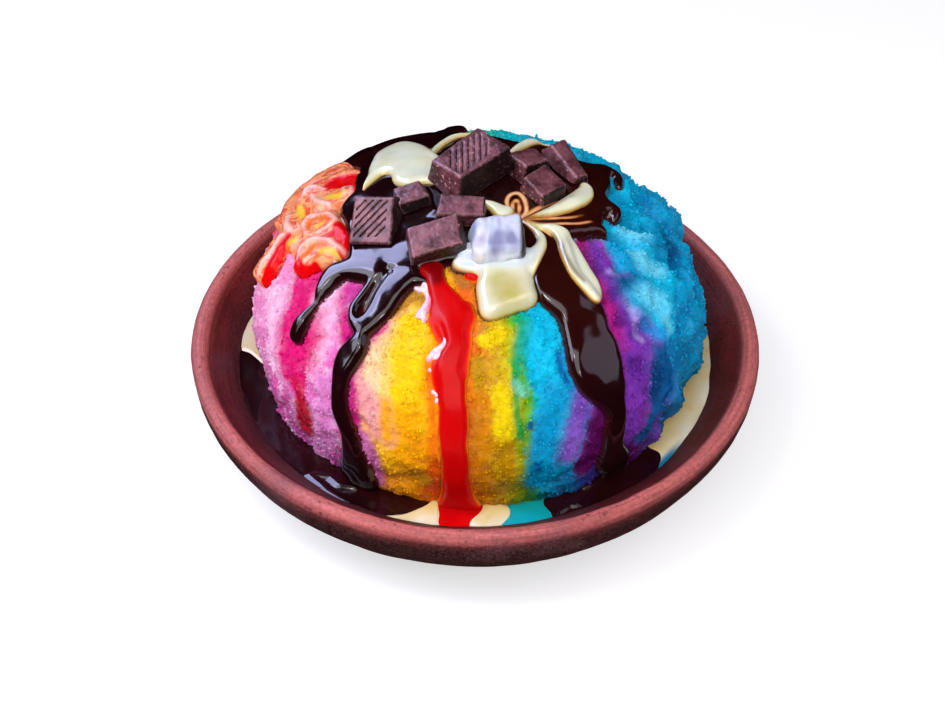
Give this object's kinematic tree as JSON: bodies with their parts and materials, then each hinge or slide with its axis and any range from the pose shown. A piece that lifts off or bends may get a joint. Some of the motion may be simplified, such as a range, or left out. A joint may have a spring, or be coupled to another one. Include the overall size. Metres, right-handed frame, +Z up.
{
  "type": "shaved ice dessert",
  "caption": "Mound of rainbow-tinted shaved ice in a shallow round clay dish, with runs of chocolate sauce, condensed milk and red syrup and broken pieces of chocolate on top.",
  "frame": {"origin": "middle of the foot of the bowl, on the surface it stands on", "axes": "+Z up; -Y is the front, the side with the red syrup run down its middle; +X is right as seen from the front, the side with the blue ice"},
  "size_m": [0.171, 0.171, 0.0982],
  "materials": {
    "clay": "unglazed reddish-brown clay, matt to satin, fine grained",
    "ice": "wet granular shaved ice stained by syrups in pink, yellow, red, green, blue and purple",
    "chocolate": "satin dark chocolate, paler on its bevelled edges",
    "chocolate_sauce": "wet glossy dark brown sauce, redder where thin",
    "milk": "smooth glossy cream-white",
    "red_syrup": "wet glossy bright red, orange at its edges",
    "melt": "wet blue-green melted ice"
  },
  "bodies": {
    "root": {"bowl": "clay", "shaved_ice": "ice", "chocolate_chunk_top": "chocolate", "chocolate_chunk_left": "chocolate", "chocolate_chunk_behind_left": "chocolate", "chocolate_chunk_middle": "chocolate", "chocolate_chunk_front": "chocolate", "chocolate_chunk_under_milk": "chocolate", "chocolate_chunk_right": "chocolate", "chocolate_chunk_slab": "chocolate", "chocolate_chunk_back_right": "chocolate", "chocolate_sauce": "chocolate_sauce", "condensed_milk_left": "milk", "condensed_milk_back": "milk", "condensed_milk_back_right": "milk", "condensed_milk_swirl": "milk", "red_syrup_run": "red_syrup", "red_syrup_swirl": "red_syrup", "milk_pool_left": "milk", "chocolate_pool_left": "chocolate_sauce", "milk_pool_front_left": "milk", "syrup_pool_front": "red_syrup", "milk_pool_front_right": "milk", "melt_pool_front_right": "melt", "chocolate_pool_right": "chocolate_sauce", "milk_pool_right": "milk", "chocolate_pool_back": "chocolate_sauce", "milk_pool_back": "milk"}
  },
  "joints": []
}
